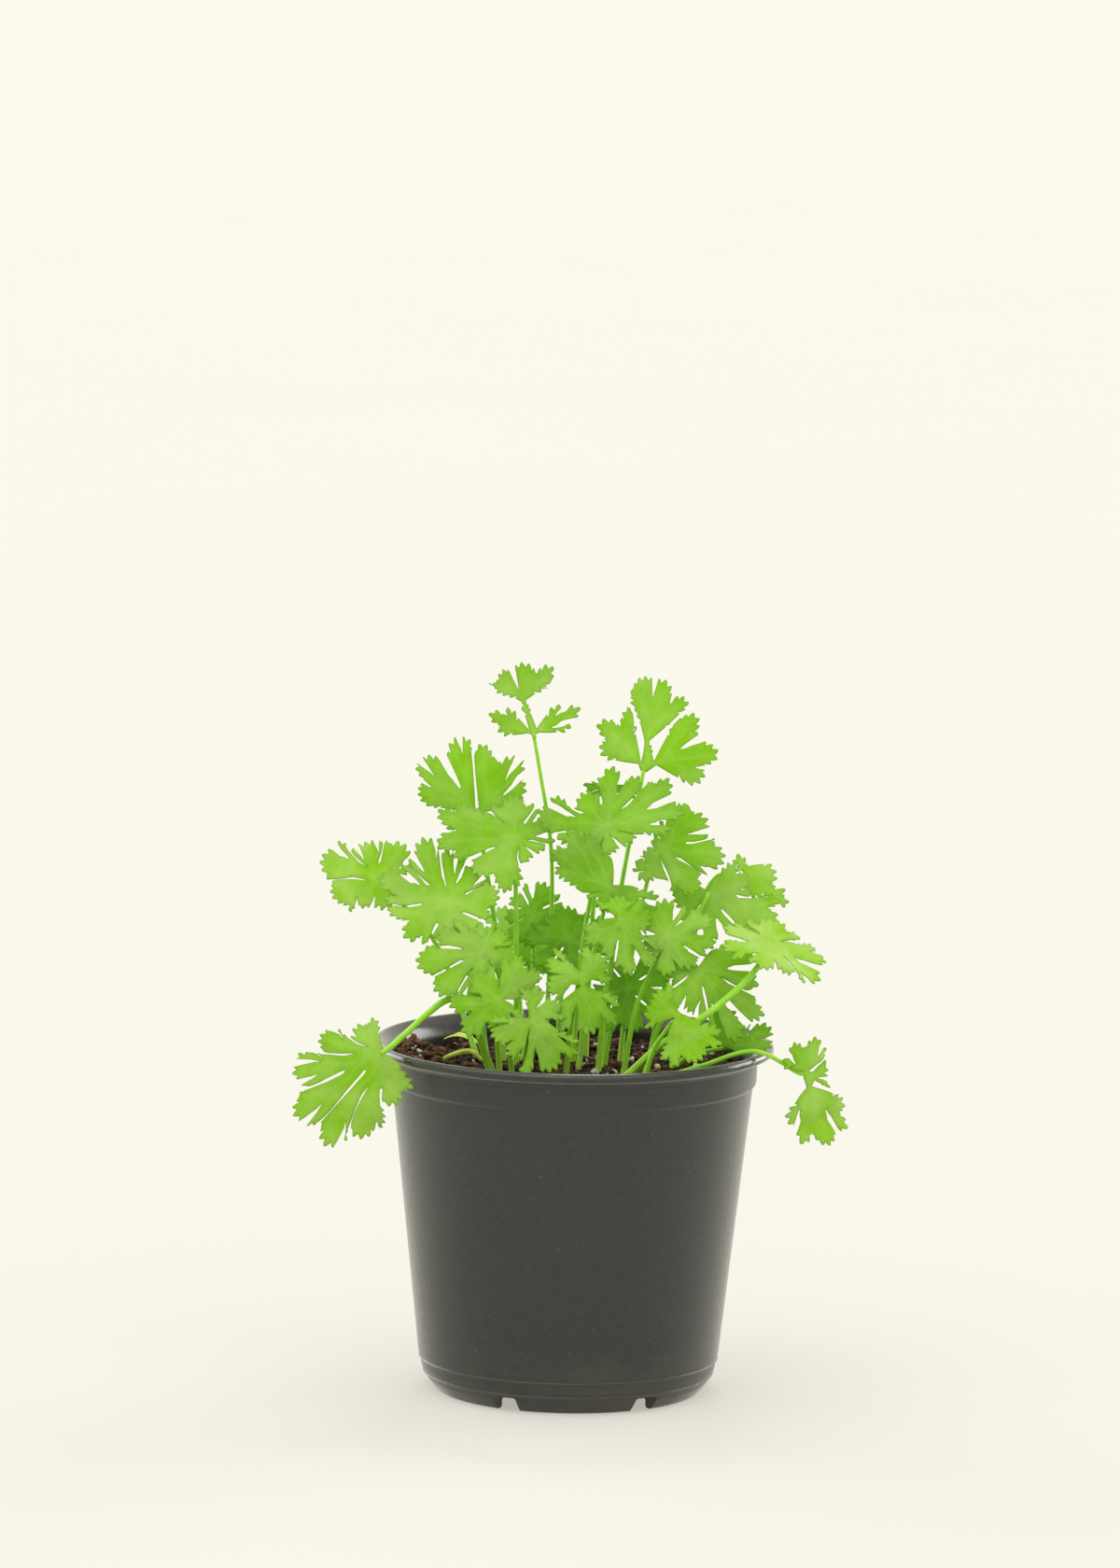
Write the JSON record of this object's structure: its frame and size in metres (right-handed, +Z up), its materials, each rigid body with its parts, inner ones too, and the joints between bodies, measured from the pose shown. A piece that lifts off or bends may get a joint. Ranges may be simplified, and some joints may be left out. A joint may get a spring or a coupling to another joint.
{
  "type": "potted coriander",
  "caption": "Young coriander plant with lobed, toothed leaves on slender stalks, growing in a round dark plastic nursery pot of potting mix.",
  "frame": {"origin": "on the pot's axis, on the surface that the pot stands on", "axes": "+Z up along the pot's axis; the fuller, front side of the plant faces -Y, with +X to the right"},
  "size_m": [0.1721, 0.127, 0.2287],
  "materials": {
    "pot_plastic": "satin dark grey moulded polypropylene",
    "potting_mix": "damp coir and bark with white perlite",
    "stem_green": "smooth pale green leaf stalk, finely ridged",
    "leaf_green": "soft matt green leaf, paler veins and underside",
    "dry_straw": "dry pale yellow plant tissue"
  },
  "bodies": {
    "root": {"pot": "pot_plastic", "soil": "potting_mix", "stem_01": "stem_green", "leaf_01": "leaf_green", "stem_02": "stem_green", "leaf_02": "leaf_green", "stem_03": "stem_green", "leaf_03": "leaf_green", "stem_04": "stem_green", "leaf_04": "leaf_green", "stem_05": "stem_green", "leaf_05": "leaf_green", "stem_06": "stem_green", "leaf_06": "leaf_green", "stem_07": "stem_green", "leaf_07": "leaf_green", "stem_08": "stem_green", "leaf_08": "leaf_green", "stem_09": "stem_green", "leaf_09": "leaf_green", "stem_10": "stem_green", "leaf_10": "leaf_green", "stem_11": "stem_green", "leaf_11": "leaf_green", "stem_12": "stem_green", "leaf_12": "leaf_green", "stem_13": "stem_green", "leaf_13": "leaf_green", "stem_14": "stem_green", "leaf_14": "leaf_green", "stem_15": "stem_green", "leaf_15": "leaf_green", "stem_16": "stem_green", "leaf_16": "leaf_green", "stem_17": "stem_green", "leaf_17": "leaf_green", "stem_18": "stem_green", "leaf_18": "leaf_green", "stem_19": "stem_green", "leaf_19": "leaf_green", "stem_20": "stem_green", "leaf_20": "leaf_green", "stem_21": "stem_green", "leaf_21": "leaf_green", "stem_22": "stem_green", "leaf_22": "leaf_green", "stem_23": "stem_green", "leaf_23": "leaf_green", "stem_24": "stem_green", "leaf_24": "leaf_green", "stem_25": "stem_green", "leaf_25": "leaf_green", "stem_26": "stem_green", "leaf_26": "leaf_green", "stem_27": "stem_green", "leaf_27": "leaf_green", "stem_28": "stem_green", "leaf_28": "leaf_green", "seed_leaf": "dry_straw", "bare_stalk": "dry_straw"}
  },
  "joints": []
}
